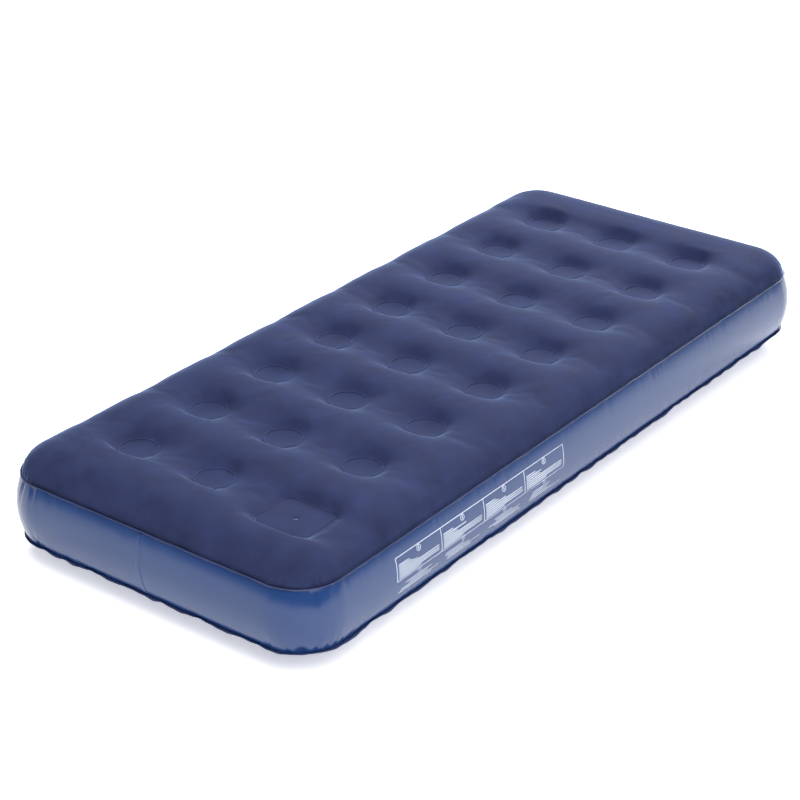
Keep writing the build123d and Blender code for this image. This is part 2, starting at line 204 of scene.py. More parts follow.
def finish_of(name, rgb, roughness, grain, bump, spread=0.12, depth=0.0003, **sockets):
    """A Principled finish whose colour, roughness and bump follow fine noise.

    grain is the noise's scale per metre, spread how far the colour strays from rgb, and bump the
    strength of a relief that is depth deep.
    """
    material = bpy.data.materials.get(name)
    if material:
        return material
    material = bpy.data.materials.new(name)
    material.use_nodes = True
    material.diffuse_color = (*rgb, 1)
    tree = material.node_tree
    shader = tree.nodes["Principled BSDF"]
    add = adder(tree)
    place = node(tree, "ShaderNodeTexCoord").outputs["Object"]
    fine = add("ShaderNodeTexNoise", {"Vector": place, "Scale": grain, "Detail": 3.0})
    broad = add("ShaderNodeTexNoise", {"Vector": place, "Scale": grain / 90 + 3, "Detail": 2.0})
    both = add("ShaderNodeMath", {0: fine, 1: broad}, operation="ADD")
    shade = add(
        "ShaderNodeMapRange",
        {"Value": both, "From Min": 0.6, "From Max": 1.4, "To Min": 1 - spread, "To Max": 1 + spread},
    )
    tone = node(
        tree, "ShaderNodeMix", {"Factor": 1.0, 6: (*rgb, 1), 7: shade},
        data_type="RGBA", blend_type="MULTIPLY",
    )
    tree.links.new(tone.outputs[2], shader.inputs["Base Color"])
    rough = add(
        "ShaderNodeMapRange",
        {"Value": broad, "From Min": 0.3, "From Max": 0.7,
         "To Min": roughness * 0.92, "To Max": min(1, roughness * 1.08)},
    )
    tree.links.new(rough, shader.inputs["Roughness"])
    relief = add("ShaderNodeBump", {"Height": fine, "Strength": bump, "Distance": depth})
    tree.links.new(relief, shader.inputs["Normal"])
    for socket, value in sockets.items():
        shader.inputs[socket.replace("_", " ")].default_value = value
    return material


# material: (its colour in AirBedColours, what finish_of is told)
FINISHES = {
    # short soft pile with a bluish bloom where it is seen edge on
    "flock": ("flock", dict(
        roughness=0.95, grain=1400.0, bump=0.55, spread=0.34, depth=0.0004,
        Sheen_Weight=0.74, Sheen_Roughness=0.26, Specular_IOR_Level=0.1,
    )),
    # glossy film that hangs very slightly uneven
    "band_film": ("band", dict(
        roughness=0.25, grain=24.0, bump=0.12, spread=0.05, depth=0.002, Specular_IOR_Level=0.56,
    )),
    # film pressed by the welding bar, with its fine grain
    "rim_film": ("rim", dict(roughness=0.38, grain=500.0, bump=0.3, spread=0.1)),
    # satin film, embossed so that it grips the ground
    "base_film": ("base", dict(roughness=0.45, grain=700.0, bump=0.35, spread=0.08)),
    # matt screen ink
    "print_ink": ("ink", dict(roughness=0.6, grain=900.0, bump=0.1, spread=0.08)),
    # open-cell foam with its pores
    "open_foam": ("foam", dict(roughness=0.95, grain=420.0, bump=0.9, spread=0.35, depth=0.0009)),
    "soft_moulding": ("moulding", dict(roughness=0.4, grain=260.0, bump=0.15, spread=0.06)),
    "valve_plastic": ("valve", dict(roughness=0.34, grain=320.0, bump=0.12, spread=0.06)),
    "flap_vinyl": ("flap", dict(roughness=0.35, grain=200.0, bump=0.1, spread=0.05)),
    "gasket_rubber": ("gasket", dict(roughness=0.75, grain=650.0, bump=0.25)),
    # milky film of the beams and of the pump chamber
    "beam_film": ("beam", dict(roughness=0.4, grain=120.0, bump=0.15, spread=0.06)),
    # floor that glows a little, as a lit table does
    "pale_floor": ("floor", dict(
        roughness=0.7, grain=30.0, bump=0.05, spread=0.01,
        Emission_Color=(1, 1, 1, 1), Emission_Strength=0.5,
    )),
}


def finish(name):
    """One of the finishes, which is made when it is first asked for."""
    paint, told = FINISHES[name]
    if name == "flock":
        told = {**told, "Sheen_Tint": (*colours().flock_tint, 1)}
    return finish_of(name, tuple(getattr(colours(), paint)), **told)


def placed(name, data):
    """A new object at the origin, in the scene."""
    made = bpy.data.objects.new(name, data)
    bpy.context.scene.collection.objects.link(made)
    return made


def link(name, mesh, material):
    """An object at the origin for a finished mesh, shaded smooth, with its one material."""
    mesh.name = name
    mesh.materials.clear()
    mesh.materials.append(material)
    mesh.shade_smooth()
    return placed(name, mesh)


def mesh_from(points, faces):
    """A mesh from arrays of points and of four-cornered faces, without unused points."""
    used, index = np.unique(faces, return_inverse=True)
    mesh = bpy.data.meshes.new("skin")
    mesh.from_pydata(points[used].tolist(), [], index.reshape(faces.shape).tolist())
    mesh.update()
    return mesh


def points_of(mesh):
    """A mesh's points as rows of three."""
    flat = np.empty(len(mesh.vertices) * 3)
    mesh.vertices.foreach_get("co", flat)
    return flat.reshape(-1, 3)


def film(piece):
    """Gives a skin its real thickness, inwards."""
    wall = piece.modifiers.new("thickness", "SOLIDIFY")
    wall.thickness = sizes().film
    wall.offset = -1


def enclosed_volume(mesh):
    """Volume inside a closed mesh, below zero if its faces point inwards."""
    points = points_of(mesh)
    mesh.calc_loop_triangles()
    corners = np.empty(len(mesh.loop_triangles) * 3, int)
    mesh.loop_triangles.foreach_get("vertices", corners)
    a, b, c = points[corners.reshape(-1, 3).T]
    return (a * np.cross(b, c)).sum() / 6


def loft(name, loops, material, round_trip=False):
    """A skin through loops of equally many points, closed by caps or by meeting itself again."""
    loops = [np.asarray(loop) for loop in loops]
    count = len(loops[0])
    points = np.concatenate(loops)
    around = np.arange(count)
    faces = []
    steps = len(loops) if round_trip else len(loops) - 1
    for step in range(steps):
        here, there = step * count, (step + 1) % len(loops) * count
        beside = (around + 1) % count
        faces += np.stack([here + around, here + beside, there + beside, there + around], 1).tolist()
    if not round_trip:
        faces.append(around[::-1].tolist())
        faces.append((around + (len(loops) - 1) * count).tolist())
    mesh = bpy.data.meshes.new(name)
    mesh.from_pydata(points.tolist(), [], faces)
    mesh.update()
    if enclosed_volume(mesh) < 0:
        mesh.flip_normals()
    return link(name, mesh, material)


# ------------------------------------------------------------------ the seam line
def seam_half():
    """Half the seam's length and width."""
    return top_hi.x - sizes().weld_rim, top_hi.y - sizes().weld_rim


def rounded_path(count, half_x, half_y, corner):
    """Evenly spaced points of a rounded rectangle, anticlockwise, with their outward normals."""
    turn = np.linspace(0, math.pi / 2, 60)
    points, normals = [], []
    for quarter, (side_x, side_y) in enumerate(((1, 1), (-1, 1), (-1, -1), (1, -1))):
        angle = turn + quarter * math.pi / 2
        out = np.stack([np.cos(angle), np.sin(angle)], 1)
        middle = np.array([side_x * (half_x - corner), side_y * (half_y - corner)])
        points.append(middle + corner * out)
        normals.append(out)
    points = np.concatenate(points + [points[0][:1]])
    normals = np.concatenate(normals + [normals[0][:1]])
    along = np.concatenate([[0], np.cumsum(np.hypot(*np.diff(points, axis=0).T))])
    at = np.linspace(0, along[-1], count, endpoint=False)
    path = np.stack([np.interp(at, along, points[:, i]) for i in (0, 1)], 1)
    out = np.stack([np.interp(at, along, normals[:, i]) for i in (0, 1)], 1)
    return path, out / np.linalg.norm(out, axis=1)[:, None], at


def seam_path(count):
    """Evenly spaced points of the seam line, their outward normals and their places along it."""
    return rounded_path(count, *seam_half(), sizes().seam_corner)


def rounded_distance(points, half_x, half_y, corner):
    """Signed distance from a rounded rectangle at the origin, below zero inside it."""
    over = np.abs(points) - np.array([half_x - corner, half_y - corner])
    outside = np.linalg.norm(np.maximum(over, 0), axis=1)
    return outside + np.minimum(over.max(1), 0) - corner


def corner_share(path):
    """1 on the seam's round corners and 0 along its straights."""
    half_x, half_y = seam_half()
    corner = sizes().seam_corner
    past_x = np.abs(path[:, 0]) - (half_x - corner)
    past_y = np.abs(path[:, 1]) - (half_y - corner)
    return np.clip(np.minimum(past_x, past_y) / (0.25 * corner) + 0.6, 0, 1)


def waves(at, total, shortest, longest, seed):
    """Smooth closed noise along the seam, about -1 to 1, from waves between two lengths."""
    draw = np.random.RandomState(seed)
    turns = np.arange(int(total / longest), int(total / shortest) + 1)
    phases = draw.uniform(0, 2 * math.pi, len(turns))
    weights = draw.uniform(0.5, 1, len(turns))
    rise = (weights[:, None] * np.cos(2 * math.pi * turns[:, None] * at / total + phases[:, None])).sum(0)
    return rise / (np.abs(rise).max() + 1e-9)


def seam_pinches(at, total, path, seed):
    """Depth of the little folds that the weld gathers, along the seam, most at the corners."""
    share = corner_share(path)
    folds = (1 - np.abs(waves(at, total, 0.024, 0.08, seed))) ** 9
    swell = 0.5 + 0.5 * waves(at, total, 0.15, 0.9, seed + 1)
    return folds * (0.05 + 0.14 * swell + 0.85 * share)


# ------------------------------------------------------------------ top and bottom skins
def skin_grid(cell, holes):
    """Grid of points over the seam's rectangle, drawn in at the corners and onto each weld."""
    half_x, half_y = seam_half()
    corner = sizes().seam_corner
    count_x, count_y = round(2 * half_x / cell), round(2 * half_y / cell)
    across, along = np.meshgrid(
        np.linspace(-half_x, half_x, count_x + 1),
        np.linspace(-half_y, half_y, count_y + 1),
        indexing="ij",
    )
    points = np.stack([across.ravel(), along.ravel()], 1)
    u = (np.abs(points[:, 0]) - half_x + corner) / corner
    v = (np.abs(points[:, 1]) - half_y + corner) / corner
    bent = (u > 0) & (v > 0)
    u, v = u[bent], v[bent]
    side = np.sign(points[bent])
    points[bent, 0] = side[:, 0] * (half_x - corner + corner * u * np.sqrt(1 - v * v / 2))
    points[bent, 1] = side[:, 1] * (half_y - corner + corner * v * np.sqrt(1 - u * u / 2))
    held = np.zeros(len(points), bool)
    for disc in DISCS:
        away = points - disc
        reach = np.hypot(away[:, 0], away[:, 1])
        near = np.abs(reach - DISC_RADIUS) < 0.55 * cell
        points[near] = disc + away[near] * (DISC_RADIUS / reach[near])[:, None]
        held |= (reach < DISC_RADIUS) | near
    for middle, hole_x, hole_y, hole_corner in holes:
        held |= rounded_distance(points - middle, hole_x, hole_y, hole_corner) < 0.3 * cell
    shape = (count_x + 1, count_y + 1)
    number = np.arange(len(points)).reshape(shape)
    faces = np.stack(
        [number[:-1, :-1], number[1:, :-1], number[1:, 1:], number[:-1, 1:]], -1
    ).reshape(-1, 4)
    edge = np.zeros(shape, bool)
    edge[[0, -1]] = True
    edge[:, [0, -1]] = True
    return points, faces, held, edge.ravel(), shape


def blown_height(points, held, edge, shape, pull):
    """Height of a taut skin over its welds, 0 on them and 1 on the crown between them.

    The skin is pulled harder across the bed than along it, which joins the welds of a row.
    """
    fixed = (held & ~edge).reshape(shape)
    rise = np.zeros(shape)
    for _ in range(6000):
        wide = np.pad(rise, 1, mode="edge")
        ends = wide[2:, 1:-1] + wide[:-2, 1:-1]
        sides = wide[1:-1, 2:] + wide[1:-1, :-2]
        rise = (ends + pull * sides + 1) / (2 + 2 * pull)
        rise[fixed] = 0
    inner = np.abs(points[:, 0]).reshape(shape) < DISCS[:, 0].max() - 0.5 * DISC_RADIUS
    inner &= np.abs(points[:, 1]).reshape(shape) < DISCS[:, 1].max()
    rise = (rise / np.percentile(rise[inner], 99)) ** 0.58
    # beside a weld the skin stands up steeply, like the wall of a tyre
    near = np.hypot(*(points[:, None] - DISCS[None]).transpose(2, 0, 1)).min(1) - DISC_RADIUS
    tyre = 1 - np.exp(-np.maximum(near, 0).reshape(shape) / 0.006)
    rise = 0.86 * rise + 0.14 * tyre * np.minimum(1, 4 * rise)
    soft = 0.82
    over = rise > soft
    rise[over] = soft + (1 - soft) * np.tanh((rise[over] - soft) / (1 - soft))
    return rise.ravel()


def inside_seam(points):
    """Distance of points from the seam line, towards the middle of the bed."""
    half_x, half_y = seam_half()
    return -rounded_distance(points[:, :2], half_x, half_y, sizes().seam_corner)


def shoulder_share(points, width, power):
    """How far the roll from the seam has risen: 0 on the seam, 1 past the roll's width."""
    out = np.clip(1 - inside_seam(points) / width, 0, 1)
    return np.sqrt(np.clip(1 - out**power, 0, 1))


def settle(points, faces, flat, pinned, frames):
    """Blows the skin up as cloth: it starts a little too large and its welds draw in."""
    scene = bpy.context.scene
    cloth_piece = placed("cloth", mesh_from(flat, faces))
    cloth_piece.shape_key_add(name="Basis")
    blown = cloth_piece.shape_key_add(name="blown")
    blown.data.foreach_set("co", points.ravel())
    for at, value in ((1, 0.0), (frames // 2, 1.0)):
        blown.value = value
        blown.keyframe_insert("value", frame=at)
    group = cloth_piece.vertex_groups.new(name="welds")
    group.add(np.flatnonzero(pinned).tolist(), 1.0, "REPLACE")
    cloth = cloth_piece.modifiers.new("cloth", "CLOTH")
    rules = cloth.settings
    rules.quality = 6
    rules.mass = 0.002
    rules.air_damping = 2
    rules.tension_stiffness = rules.compression_stiffness = 40
    rules.shear_stiffness = 8
    rules.bending_stiffness = 0.1
    rules.tension_damping = rules.compression_damping = rules.shear_damping = 5
    rules.bending_damping = 0.5
    rules.use_pressure = True
    rules.uniform_pressure_force = 5
    rules.vertex_group_mass = "welds"
    rules.pin_stiffness = 1
    rules.effector_weights.gravity = 0
    cloth.collision_settings.use_collision = False
    cloth.collision_settings.use_self_collision = False
    cloth.point_cache.frame_start = 1
    cloth.point_cache.frame_end = frames + 1
    for at in range(1, frames + 1):
        scene.frame_set(at)
    graph = bpy.context.evaluated_depsgraph_get()
    settled = bpy.data.meshes.new_from_object(cloth_piece.evaluated_get(graph))
    moved = points_of(settled)
    bpy.data.objects.remove(cloth_piece)
    bpy.data.meshes.remove(settled)
    for action in list(bpy.data.actions):
        bpy.data.actions.remove(action)
    scene.frame_set(1)
    return moved


def refined(points, faces):
    """One level of subdivision, baked, as points and faces."""
    rough = placed("rough", mesh_from(points, faces))
    smooth = rough.modifiers.new("smooth", "SUBSURF")
    smooth.levels = smooth.render_levels = 1
    graph = bpy.context.evaluated_depsgraph_get()
    fine = bpy.data.meshes.new_from_object(rough.evaluated_get(graph))
    corners = np.empty(len(fine.loops), int)
    fine.loops.foreach_get("vertex_index", corners)
    result = points_of(fine), corners.reshape(-1, 4)
    bpy.data.objects.remove(rough)
    bpy.data.meshes.remove(fine)
    return result


def gather_at_seam(points, level, depth, seed):
    """Draws a skin's margin in and out with the folds of its seam."""
    inside = inside_seam(points)
    margin = np.flatnonzero(inside < 2.5 * FOLD_REACH)
    path, out, at = seam_path(1600)
    total = at[1] * len(at)
    fold = seam_pinches(at, total, path, seed)
    nearest = np.empty(len(margin), int)
    batch = 2000
    for start in range(0, len(margin), batch):
        part = slice(start, start + batch)
        gap = points[margin[part], None, :2] - path[None]
        nearest[part] = (gap**2).sum(2).argmin(1)
    away = np.abs(points[margin, 2] - level) + np.maximum(inside[margin], 0)
    share = away / FOLD_REACH * np.exp(1 - away / FOLD_REACH)
    points[margin, :2] -= out[nearest] * (depth * fold[nearest] * share)[:, None]
    return points


class AIRBED_OT_top_skin(bpy.types.Operator):
    """Blow up the flocked top skin over its round welds"""

    bl_idname = "airbed.top_skin"
    bl_label = "Top skin"

    def execute(self, context):
        size = sizes()
        cell = size.cell
        pan_half = (pan_hi - pan_lo) / 2
        pan = (PUMP, pan_half.x, pan_half.y, size.pan_corner)
        flat, faces, held, edge, shape = skin_grid(cell, [pan])
        rise = blown_height(flat, held, edge, shape, TOP_PULL)
        height = TOP_WELD + (CROWN - TOP_WELD) * rise
        height = HIGH_SEAM + (height - HIGH_SEAM) * shoulder_share(flat, size.shoulder, 2.2)
        height[held & ~edge] = TOP_WELD
        height[edge] = HIGH_SEAM
        points = np.column_stack([flat, height])
        extra = np.array([0.012, 0.004])
        large = points.copy()
        large[:, :2] *= 1 + extra
        for disc in DISCS:
            on_disc = np.hypot(*(flat - disc).T) <= 1.01 * DISC_RADIUS
            large[on_disc, :2] = flat[on_disc] + disc * extra
        settled = settle(points, faces, large, held | edge, size.settle_frames)
        # towards the seam the margin is taut, and keeps less of the cloth's folds
        keep = 0.3 + 0.3 * np.clip(inside_seam(points) / 0.13, 0, 1)[:, None] ** 1.5
        points = points * (1 - keep) + settled * keep
        points, faces = refined(points, faces)
        points[:, 2] = np.minimum(points[:, 2], CROWN + 0.004)
        for disc in DISCS:
            reach = np.hypot(*(points[:, :2] - disc).T) / (DISC_RADIUS - 0.001)
            points[:, 2] -= size.disc_dish * np.clip(1 - reach**2, 0, 1)
        points = gather_at_seam(points, HIGH_SEAM, TOP_FOLD, TOP_DRAW)
        # the pump's window: the ledge covers the edge that is left
        cover = size.window_gap + 0.003
        tread_half = (tread_hi - tread_lo) / 2
        inside = rounded_distance(
            points[:, :2] - PUMP,
            tread_half.x + cover,
            tread_half.y + cover,
            size.tread_corner + cover,
        )
        faces = faces[~(inside < 0)[faces].all(1)]
        skin = link("top_skin", mesh_from(points, faces), finish("flock"))
        film(skin)
        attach(skin, BED)
        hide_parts("top_sheet")
        return {"FINISHED"}


class AIRBED_OT_bottom_skin(bpy.types.Operator):
    """Build the underside, flat where it rests and drawn up at each weld"""

    bl_idname = "airbed.bottom_skin"
    bl_label = "Bottom skin"

    def execute(self, context):
        size = sizes()
        flat, faces, held, edge, shape = skin_grid(1.2 * size.cell, [])
        rise = blown_height(flat, held, edge, shape, BASE_PULL)
        rest = np.clip(1.12 * rise, 0, 1)
        depth = BOTTOM_WELD * (1 - rest)
        out = np.clip(1 - inside_seam(flat) / size.base_roll, 0, 1)
        depth = LOW_SEAM - (LOW_SEAM - depth) * (1 - out**1.7)
        depth[edge] = LOW_SEAM
        points, faces = refined(np.column_stack([flat, depth]), faces[:, ::-1])
        points[:, 2] = np.maximum(points[:, 2], 0)
        points = gather_at_seam(points, LOW_SEAM, BASE_FOLD, BASE_DRAW)
        skin = link("bottom_skin", mesh_from(points, faces), finish("base_film"))
        film(skin)
        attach(skin, BED)
        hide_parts("bottom_sheet")
        return {"FINISHED"}


# ------------------------------------------------------------------ side band and seams
def band_section():
    """How far the blown band bulges past the seam, and the radius of its round section."""
    bulge = side_hi.x - seam_half()[0]
    return bulge, (BAND_HALF**2 + bulge**2) / (2 * bulge)


def band_reach(height):
    """How far the blown band stands out past the seam at a height."""
    bulge, radius = band_section()
    return np.sqrt(radius**2 - (height - BAND_MIDDLE) ** 2) - (radius - bulge)


def band_points():
    """Points of the side band by level and place along the seam, and its faces."""
    cell, level_count = 0.0055, 31
    half_x, half_y = seam_half()
    count = round(2 * (half_x + half_y) * 2 / cell)
    path, out, at = seam_path(count)
    total = at[1] * count
    turn = np.linspace(-1, 1, level_count)
    level = BAND_MIDDLE + BAND_HALF * np.sin(turn * math.pi / 2)
    rows = []
    for height in level:
        reach = band_reach(height) * np.ones(count)
        for seam, seed in ((HIGH_SEAM, TOP_DRAW), (LOW_SEAM, BASE_DRAW)):
            away = abs(height - seam) / FOLD_REACH
            share = away * math.exp(1 - away)
            reach -= TOP_FOLD * share * seam_pinches(at, total, path, seed)
        rows.append(np.column_stack([path + out * reach[:, None], np.full(count, height)]))
    points = np.concatenate(rows)
    around = np.arange(count)
    beside = (around + 1) % count
    faces = [
        np.stack([row * count + around, row * count + beside,
                  (row + 1) * count + beside, (row + 1) * count + around], 1)
        for row in range(len(level) - 1)
    ]
    return points, np.concatenate(faces)


class AIRBED_OT_side_band(bpy.types.Operator):
    """Build the glossy side band with its port, and the lap weld that closes it"""

    bl_idname = "airbed.side_band"
    bl_label = "Side band"

    def execute(self, context):
        size = sizes()
        points, faces = band_points()
        half_x, _ = seam_half()
        # the port: points near its rim move onto it, and the faces inside it go
        at_port = points[:, 0] > half_x
        away = points[:, 1:] - PORT
        reach = np.hypot(away[:, 0], away[:, 1])
        near = at_port & (np.abs(reach - size.port_radius) < 0.0032)
        points[near, 1:] = PORT + away[near] * (size.port_radius / reach[near])[:, None]
        points[near, 0] = half_x + band_reach(points[near, 2])
        inside = at_port & ((reach < size.port_radius) | near)
        faces = faces[~inside[faces].all(1)]
        band = link("side_band", mesh_from(points, faces), finish("band_film"))
        film(band)
        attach(band, BED)
        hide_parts("side_wall")

        levels = np.linspace(LOW_SEAM + 0.003, HIGH_SEAM - 0.003, 40)
        across = np.array([-1.0, -0.85, -0.6, 0.6, 0.85, 1.0]) * size.lap_width / 2
        proud = np.array([0.0001, 0.0007, 0.0008, 0.0008, 0.0007, 0.0001])
        loops = []
        for height in levels:
            bend = 0.0015 * math.sin(2.2 * (height - LOW_SEAM) / (HIGH_SEAM - LOW_SEAM))
            outer = [(-half_x - band_reach(height) - p, size.lap_place + bend + a, height)
                     for a, p in zip(across, proud)]
            inner = [(-half_x - band_reach(height) + 0.0004, size.lap_place + bend + a, height)
                     for a in across[::-1]]
            loops.append(outer + inner)
        lap = loft("lap_weld", loops, finish("band_film"))
        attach(lap, BED)
        return {"FINISHED"}


def geometry_tree(name, inputs):
    """An empty Geometry Nodes tree with named inputs.

    Returns the inputs, short ways to add a node and a sum, and the last step, which realizes the
    geometry that it is given, sets its material and returns the tree.
    """
    tree = bpy.data.node_groups.new(name, "GeometryNodeTree")
    tree.interface.new_socket("Geometry", in_out="INPUT", socket_type="NodeSocketGeometry")
    for label, value in inputs.items():
        kind = "NodeSocketInt" if isinstance(value, int) else "NodeSocketFloat"
        socket = tree.interface.new_socket(label, in_out="INPUT", socket_type=kind)
        socket.default_value = value
    tree.interface.new_socket("Finish", in_out="INPUT", socket_type="NodeSocketMaterial")
    tree.interface.new_socket("Geometry", in_out="OUTPUT", socket_type="NodeSocketGeometry")
    given = tree.nodes.new("NodeGroupInput").outputs
    result = tree.nodes.new("NodeGroupOutput")
    add = adder(tree)

    def calc(operation, *terms):
        return add("ShaderNodeMath", dict(enumerate(terms)), operation=operation)

    def end(geometry):
        real = add("GeometryNodeRealizeInstances", {"Geometry": geometry})
        painted = add("GeometryNodeSetMaterial", {"Geometry": real, "Material": given["Finish"]})
        tree.links.new(painted, result.inputs["Geometry"])
        return tree

    return given, add, calc, end


def run_tree(name, mesh, tree, values, material):
    """Runs a tree on a mesh and keeps the result as a plain piece."""
    holder = placed("holder", mesh)
    modifier = holder.modifiers.new("tree", "NODES")
    modifier.node_group = tree
    for item in tree.interface.items_tree:
        if item.in_out == "INPUT" and item.name in values:
            modifier[item.identifier] = values[item.name]
        if item.in_out == "INPUT" and item.name == "Finish":
            modifier[item.identifier] = material
    graph = bpy.context.evaluated_depsgraph_get()
    made = bpy.data.meshes.new_from_object(holder.evaluated_get(graph))
    bpy.data.objects.remove(holder)
    if not made.vertices:
        raise RuntimeError(f"{name}: the tree made nothing")
    return link(name, made, material)


def rim_tree():
    """A pressed rim swept along the seam, ragged in width and wavy in height."""
    given, add, calc, end = geometry_tree(
        "welded_rim",
        {"Width": 0.007, "Gauge": 0.001, "Overlap": 0.001, "Raggedness": 0.25,
         "Waviness": 0.0015, "Seed": 0.0},
    )
    place = add("GeometryNodeInputPosition")

    def stray(scale, detail):
        noise = add(
            "ShaderNodeTexNoise",
            {"Vector": place, "W": given["Seed"], "Scale": scale, "Detail": detail},
            noise_dimensions="4D",
        )
        return calc("SUBTRACT", noise, 0.5)

    curve = add("GeometryNodeMeshToCurve", {"Mesh": given["Geometry"]})
    curve = add("GeometryNodeSetCurveNormal", {"Curve": curve}, mode="Z_UP")
    share = calc("MULTIPLY_ADD", stray(55.0, 2.0), given["Raggedness"], 1.0)
    curve = add("GeometryNodeSetCurveRadius", {"Curve": curve, "Radius": share})
    full = calc("ADD", given["Width"], given["Overlap"])
    profile = add(
        "GeometryNodeCurvePrimitiveQuadrilateral", {"Width": full, "Height": given["Gauge"]},
        mode="RECTANGLE",
    )
    shift = calc("SUBTRACT", calc("MULTIPLY", full, 0.5), given["Overlap"])
    offset = add("ShaderNodeCombineXYZ", {"X": shift})
    profile = add("GeometryNodeSetPosition", {"Geometry": profile, "Offset": offset})
    part = calc("DIVIDE", add("ShaderNodeSeparateXYZ", {"Vector": place}), given["Width"])
    profile = add(
        "GeometryNodeStoreNamedAttribute", {"Geometry": profile, "Name": "across", "Value": part},
        data_type="FLOAT", domain="POINT",
    )
    swept = add("GeometryNodeCurveToMesh", {"Curve": curve, "Profile Curve": profile})
    outer = add("GeometryNodeInputNamedAttribute", {"Name": "across"}, data_type="FLOAT")
    wave = calc("MULTIPLY", stray(22.0, 1.0), given["Waviness"])
    offset = add("ShaderNodeCombineXYZ", {"Z": calc("MULTIPLY", wave, calc("MAXIMUM", outer, 0.0))})
    return end(add("GeometryNodeSetPosition", {"Geometry": swept, "Offset": offset}))


def seam_mesh(level):
    """A closed line of edges along the seam, anticlockwise, at a height."""
    path, _, _ = seam_path(1400)
    mesh = bpy.data.meshes.new("seam")
    edges = [(i, (i + 1) % len(path)) for i in range(len(path))]
    mesh.from_pydata(np.column_stack([path, np.full(len(path), level)]).tolist(), edges, [])
    return mesh


class AIRBED_OT_weld_rims(bpy.types.Operator):
    """Sweep the pressed rims along the upper and the lower seam"""

    bl_idname = "airbed.weld_rims"
    bl_label = "Weld rims"

    def execute(self, context):
        tree = rim_tree()
        for name, level, width, raggedness, waviness, seed in (
            ("top_weld_rim", HIGH_SEAM, sizes().top_rim, 1.6, 0.008, 2.0),
            ("bottom_weld_rim", LOW_SEAM, sizes().base_rim, 1.8, 0.018, 7.0),
        ):
            values = {
                "Width": width, "Gauge": 2 * sizes().film,
                "Raggedness": raggedness, "Waviness": waviness, "Seed": seed,
            }
            rim = run_tree(name, seam_mesh(level), tree, values, finish("rim_film"))
            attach(rim, BED)
        return {"FINISHED"}


def ring_tree():
    """A round bead on every point."""
    given, add, _, end = geometry_tree(
        "weld_ring", {"Radius": 0.0375, "Bead": 0.0015, "Sides": 72}
    )
    circle = add(
        "GeometryNodeCurvePrimitiveCircle",
        {"Resolution": given["Sides"], "Radius": given["Radius"]}, mode="RADIUS",
    )
    section = add(
        "GeometryNodeCurvePrimitiveCircle", {"Resolution": 8, "Radius": given["Bead"]},
        mode="RADIUS",
    )
    bead = add("GeometryNodeCurveToMesh", {"Curve": circle, "Profile Curve": section})
    return end(add(
        "GeometryNodeInstanceOnPoints", {"Points": given["Geometry"], "Instance": bead}
    ))


class AIRBED_OT_weld_rings(bpy.types.Operator):
    """Raise the ring that the welding tool leaves on every round weld"""

    bl_idname = "airbed.weld_rings"
    bl_label = "Weld rings"

    def execute(self, context):
        tree = ring_tree()
        bead = sizes().ring_bead
        for name, level, material, slot in (
            ("top_weld_rings", TOP_WELD - 0.35 * bead, finish("flock"), "flocked_top"),
            ("bottom_weld_rings", BOTTOM_WELD + 0.35 * bead, finish("base_film"), "bottom_film"),
        ):
            mesh = bpy.data.meshes.new("welds")
            mesh.from_pydata([(x, y, level) for x, y in DISCS], [], [])
            values = {"Radius": DISC_RADIUS - sizes().ring_inset, "Bead": bead}
            rings = run_tree(name, mesh, tree, values, material)
            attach(rings, BED)
        return {"FINISHED"}


# ------------------------------------------------------------------ printed panel
def panel_tree():
    """Small bars and rings laid on the band: each point says what it is and how large."""
    given, add, calc, end = geometry_tree(
        "printed_panel",
        {"Ink": 0.0006, "Seam": 0.369, "Middle": 0.108, "Bulge": 0.015, "Bulge radius": 0.148},
    )

    def attribute(name, kind):
        return add("GeometryNodeInputNamedAttribute", {"Name": name}, data_type=kind)

    def at_points(chosen, shape):
        return add(
            "GeometryNodeInstanceOnPoints",
            {"Points": given["Geometry"], "Selection": chosen, "Instance": shape, "Scale": size},
        )

    size = attribute("print_size", "FLOAT_VECTOR")
    is_ring = add(
        "FunctionNodeCompare", {0: attribute("print_ring", "FLOAT"), 1: 0.5},
        data_type="FLOAT", operation="GREATER_THAN",
    )
    is_bar = add("FunctionNodeBooleanMath", {0: is_ring}, operation="NOT")
    bar = add(
        "GeometryNodeMeshCube",
        {"Size": (1.0, 1.0, 1.0), "Vertices X": 2, "Vertices Y": 2, "Vertices Z": 9},
    )
    circle = add(
        "GeometryNodeCurvePrimitiveCircle", {"Resolution": 28, "Radius": 0.5}, mode="RADIUS"
    )
    section = add(
        "GeometryNodeCurvePrimitiveQuadrilateral", {"Width": 0.1, "Height": 1.0}, mode="RECTANGLE"
    )
    ring = add("GeometryNodeCurveToMesh", {"Curve": circle, "Profile Curve": section})
    upright = add(
        "GeometryNodeTransform", {"Geometry": ring, "Rotation": (1.5707963, 0.0, 0.0)}
    )
    tree = size.node.id_data
    both = node(tree, "GeometryNodeJoinGeometry")
    tree.links.new(at_points(is_bar, bar), both.inputs[0])
    tree.links.new(at_points(is_ring, upright), both.inputs[0])
    real = add("GeometryNodeRealizeInstances", {"Geometry": both.outputs[0]})
    # each point moves onto the band's round section
    split = node(
        tree, "ShaderNodeSeparateXYZ", {"Vector": add("GeometryNodeInputPosition")}
    ).outputs
    rise = calc("SUBTRACT", split["Z"], given["Middle"])
    radius = given["Bulge radius"]
    arc = calc("SUBTRACT", calc("MULTIPLY", radius, radius), calc("MULTIPLY", rise, rise))
    arc = calc("SUBTRACT", calc("SQRT", arc), radius)
    out = calc("ADD", calc("ADD", arc, given["Bulge"]), given["Seam"])
    skin = calc("SUBTRACT", calc("MULTIPLY", split["Y"], given["Ink"]), out)
    place = add("ShaderNodeCombineXYZ", {"X": split["X"], "Y": skin, "Z": split["Z"]})
    return end(add("GeometryNodeSetPosition", {"Geometry": real, "Position": place}))


